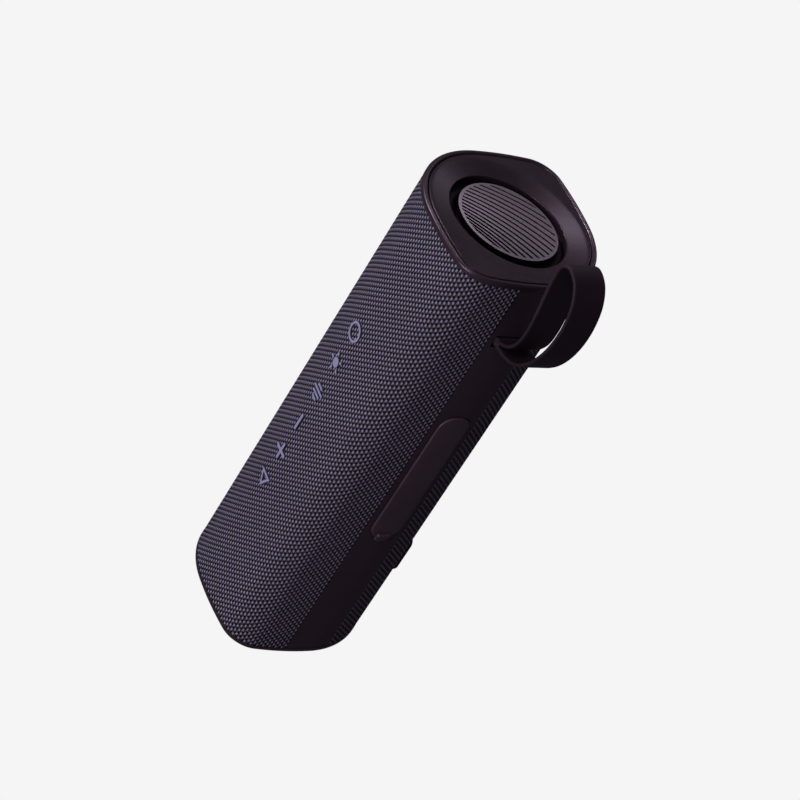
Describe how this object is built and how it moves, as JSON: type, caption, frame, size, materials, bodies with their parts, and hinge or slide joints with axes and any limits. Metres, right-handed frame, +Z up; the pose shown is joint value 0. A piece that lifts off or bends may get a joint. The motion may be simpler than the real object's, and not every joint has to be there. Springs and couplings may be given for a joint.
{
  "type": "portable speaker",
  "caption": "Splash-proof cylindrical speaker in woven fabric, with passive radiators at both ends, raised keys on top and a rubber strap at the back.",
  "frame": {"origin": "middle of the box's lowest face, on the surface that the feet stand on", "axes": "+X along the body away from the strap end, +Y to the back where the spine is, +Z up"},
  "size_m": [0.2198, 0.099, 0.0743],
  "materials": {
    "woven_fabric": "coarse two-tone plain weave",
    "body_rubber": "smooth satin",
    "strap_rubber": "smooth matte",
    "key_rubber": "matte print on rubber",
    "radiator_plastic": "satin, metallic grey",
    "surround_rubber": "matte",
    "shell_plastic": "fine texture",
    "circuit_board": "solder mask",
    "socket_metal": "bright nickel",
    "screw_steel": "zinc plated",
    "battery_wrap": "shrink wrap",
    "speaker_steel": "black powder coat",
    "magnet_ferrite": "ground ferrite",
    "cone_paper": "coated pulp",
    "foot_rubber": "matte"
  },
  "bodies": {
    "body": {"audio_jack": "shell_plastic", "back_spine": "body_rubber", "battery_cells": "battery_wrap", "battery_cradle": "shell_plastic", "button_board": "circuit_board", "card_socket": "socket_metal", "driver_basket_left": "speaker_steel", "driver_basket_right": "speaker_steel", "driver_gasket_left": "surround_rubber", "driver_gasket_right": "surround_rubber", "driver_magnet_left": "magnet_ferrite", "driver_magnet_right": "magnet_ferrite", "end_rim_left": "body_rubber", "end_rim_right": "body_rubber", "end_screws": "screw_steel", "fabric_sleeve": "woven_fabric", "face_plate_left": "body_rubber", "face_plate_right": "body_rubber", "inner_shell": "shell_plastic", "key_switches": "socket_metal", "main_board": "circuit_board", "port_tray": "shell_plastic", "radiator_frame_left": "shell_plastic", "radiator_frame_right": "shell_plastic", "radiator_surround_left": "surround_rubber", "radiator_surround_right": "surround_rubber", "rubber_feet": "foot_rubber", "strap_anchor": "shell_plastic", "usb_socket": "socket_metal"},
    "strap": {"hang_strap": "strap_rubber"},
    "port_cover": {"port_cover": "body_rubber"},
    "key_light": {"key_light": "key_rubber"},
    "key_mode": {"key_mode": "key_rubber"},
    "key_play": {"key_play": "key_rubber"},
    "key_power": {"key_power": "key_rubber"},
    "key_volume_down": {"key_volume_down": "key_rubber"},
    "key_volume_up": {"key_volume_up": "key_rubber"},
    "radiator_left": {"radiator_disc_left": "radiator_plastic", "radiator_weight_left": "screw_steel"},
    "cone_left": {"driver_cone_left": "cone_paper"},
    "radiator_right": {"radiator_disc_right": "radiator_plastic", "radiator_weight_right": "screw_steel"},
    "cone_right": {"driver_cone_right": "cone_paper"}
  },
  "joints": [
    {"name": "strap_swing", "type": "hinge", "parent": "body", "child": "strap", "pos_m": [-0.06266, 0.02181, 0.03759], "axis": [0, -0.1167, -0.9932], "range_deg": [-8, 20], "stiffness_Nm_per_rad": 0.02},
    {"name": "port_cover_hinge", "type": "hinge", "parent": "body", "child": "port_cover", "pos_m": [-0.02286, 0.02504, 0.03722], "axis": [0, 0.1167, 0.9932], "range_deg": [0, 100], "stiffness_Nm_per_rad": 0.005},
    {"name": "key_light_press", "type": "slide", "parent": "body", "child": "key_light", "axis": [0, 0, -1], "range_m": [0, 0.0004], "stiffness_N_per_m": 3000},
    {"name": "key_mode_press", "type": "slide", "parent": "body", "child": "key_mode", "axis": [0, 0, -1], "range_m": [0, 0.0004], "stiffness_N_per_m": 3000},
    {"name": "key_play_press", "type": "slide", "parent": "body", "child": "key_play", "axis": [0, 0, -1], "range_m": [0, 0.0004], "stiffness_N_per_m": 3000},
    {"name": "key_power_press", "type": "slide", "parent": "body", "child": "key_power", "axis": [0, 0, -1], "range_m": [0, 0.0004], "stiffness_N_per_m": 3000},
    {"name": "key_volume_down_press", "type": "slide", "parent": "body", "child": "key_volume_down", "axis": [0, 0, -1], "range_m": [0, 0.0004], "stiffness_N_per_m": 3000},
    {"name": "key_volume_up_press", "type": "slide", "parent": "body", "child": "key_volume_up", "axis": [0, 0, -1], "range_m": [0, 0.0004], "stiffness_N_per_m": 3000},
    {"name": "radiator_left_stroke", "type": "slide", "parent": "body", "child": "radiator_left", "axis": [1, 0, 0], "range_m": [-0.0012, 0.0012], "stiffness_N_per_m": 900},
    {"name": "radiator_right_stroke", "type": "slide", "parent": "body", "child": "radiator_right", "axis": [1, 0, 0], "range_m": [-0.0012, 0.0012], "stiffness_N_per_m": 900},
    {"name": "cone_left_stroke", "type": "slide", "parent": "body", "child": "cone_left", "axis": [0, 1, 0], "range_m": [-0.001, 0.001], "stiffness_N_per_m": 1500},
    {"name": "cone_right_stroke", "type": "slide", "parent": "body", "child": "cone_right", "axis": [0, 1, 0], "range_m": [-0.001, 0.001], "stiffness_N_per_m": 1500}
  ]
}
